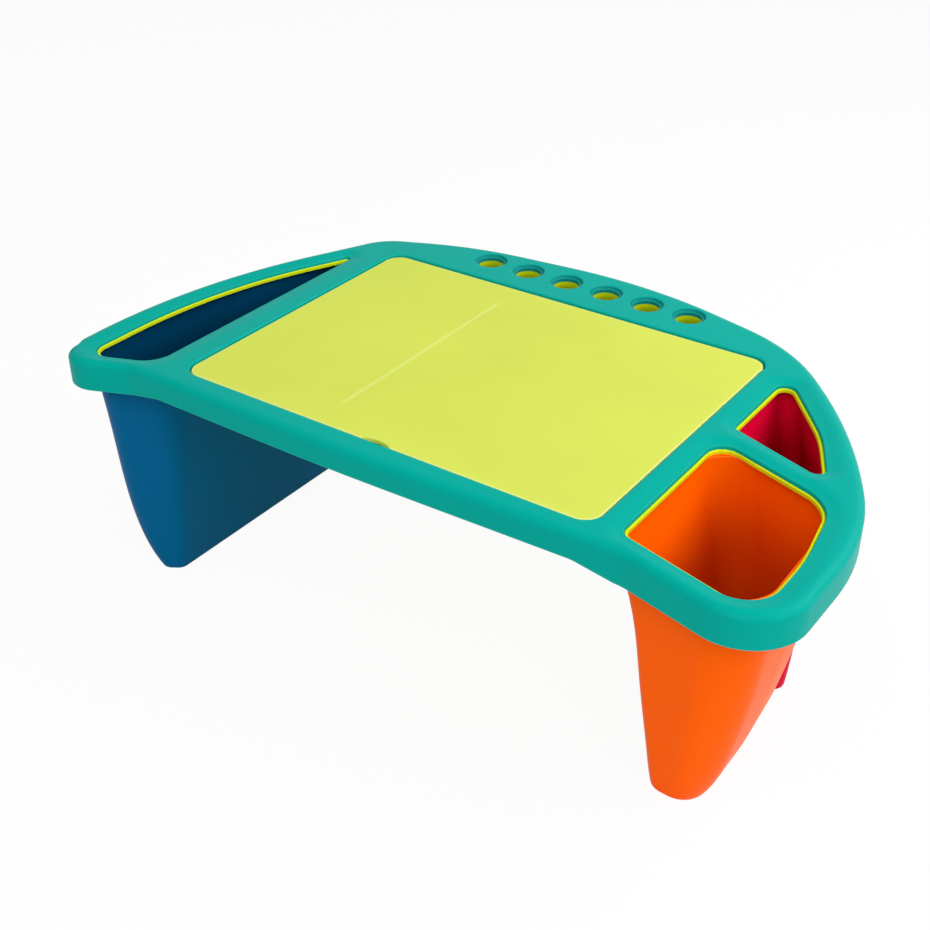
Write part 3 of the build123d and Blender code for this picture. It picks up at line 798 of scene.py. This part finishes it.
studio = {
    "white": (1.0, 1.0, 1.0, 1.0), "worldStrength": 0.40,
    "floorColor": (0.86, 0.86, 0.86, 1.0), "floorHalf": 4.0,
    "floorGlow": 0.93,    # share of plain white that the floor shows where it is seen directly
    "lamps": [
        # name, place from the datum, width, height, watts
        ("keySoftbox", (0.45, -1.25, 1.45), 1.5, 1.3, 19.5),
        ("rightSoftbox", (1.45, 0.0, 0.95), 1.1, 1.1, 10.0),
        ("backSoftbox", (0.70, 0.85, 0.85), 0.9, 0.9, 10.0),
    ],
}


def seenDirectly(tree):  # 1 for camera, glossy and transmission rays, which see plain white
    seen = addNode(tree, "ShaderNodeLightPath").outputs
    direct = mathNode(tree, "MAXIMUM", seen["Is Camera Ray"], seen["Is Glossy Ray"])
    return mathNode(tree, "MAXIMUM", direct, seen["Is Transmission Ray"])


def makeFloor():
    half = studio["floorHalf"]
    mesh = bpy.data.meshes.new("studioFloor")
    corners = [(-half, -half, 0), (half, -half, 0), (half, half, 0), (-half, half, 0)]
    mesh.from_pydata(corners, [], [(0, 1, 2, 3)])
    floor = bpy.data.objects.new("studioFloor", mesh)
    bpy.context.scene.collection.objects.link(floor)
    material = bpy.data.materials.new("paperSweep")
    tree = newTree(material)
    shown = mathNode(tree, "MULTIPLY", seenDirectly(tree), studio["floorGlow"])
    paper = addNode(tree, "ShaderNodeBsdfDiffuse", {"Color": studio["floorColor"]})
    white = addNode(tree, "ShaderNodeEmission", {"Color": studio["white"], "Strength": 1.0})
    mix = addNode(tree, "ShaderNodeMixShader", {0: shown, 1: paper.outputs[0], 2: white.outputs[0]})
    addNode(tree, "ShaderNodeOutputMaterial", {"Surface": mix.outputs[0]})
    mesh.materials.append(material)


def makeWorld():
    world = bpy.data.worlds.new("studioWorld")
    bpy.context.scene.world = world
    tree = newTree(world)
    soft = studio["worldStrength"]
    strength = mathNode(tree, "MULTIPLY_ADD", seenDirectly(tree), 1.0 - soft, soft)
    glow = addNode(tree, "ShaderNodeBackground", {"Color": studio["white"], "Strength": strength})
    addNode(tree, "ShaderNodeOutputWorld", {"Surface": glow.outputs[0]})


def makeLamp(name, place, width, height, watts):
    lamp = bpy.data.lights.new(name, "AREA")
    lamp.shape = "RECTANGLE"
    lamp.size, lamp.size_y, lamp.energy = width, height, watts
    holder = bpy.data.objects.new(name, lamp)
    holder.location = datum + Vector(place)
    holder.rotation_euler = (-Vector(place)).to_track_quat("-Z", "Y").to_euler()
    bpy.context.scene.collection.objects.link(holder)


cameraSettings = {
    "sensor": 36.0, "lens": 54.09,           # millimetres
    "place": (0.4617, -0.6674, 0.4345),      # from the datum
    "right": (0.81783, 0.57544, -0.00403),   # the ways that the camera's own X, Y and Z point
    "up": (-0.30368, 0.43753, 0.84637),
    "back": (0.48880, -0.69097, 0.53258),
}


def makeCamera(look):
    lens = bpy.data.cameras.new("deskView")
    lens.sensor_width, lens.lens = look["sensor"], look["lens"]
    holder = bpy.data.objects.new("deskView", lens)
    turn = Matrix((look["right"], look["up"], look["back"])).transposed().to_4x4()
    holder.matrix_world = Matrix.Translation(datum + Vector(look["place"])) @ turn
    bpy.context.scene.collection.objects.link(holder)
    bpy.context.scene.camera = holder


makeFloor()
makeWorld()
for lamp in studio["lamps"]:
    makeLamp(*lamp)
makeCamera(cameraSettings)
bpy.context.scene.view_settings.view_transform = "Standard"
print("studio made")
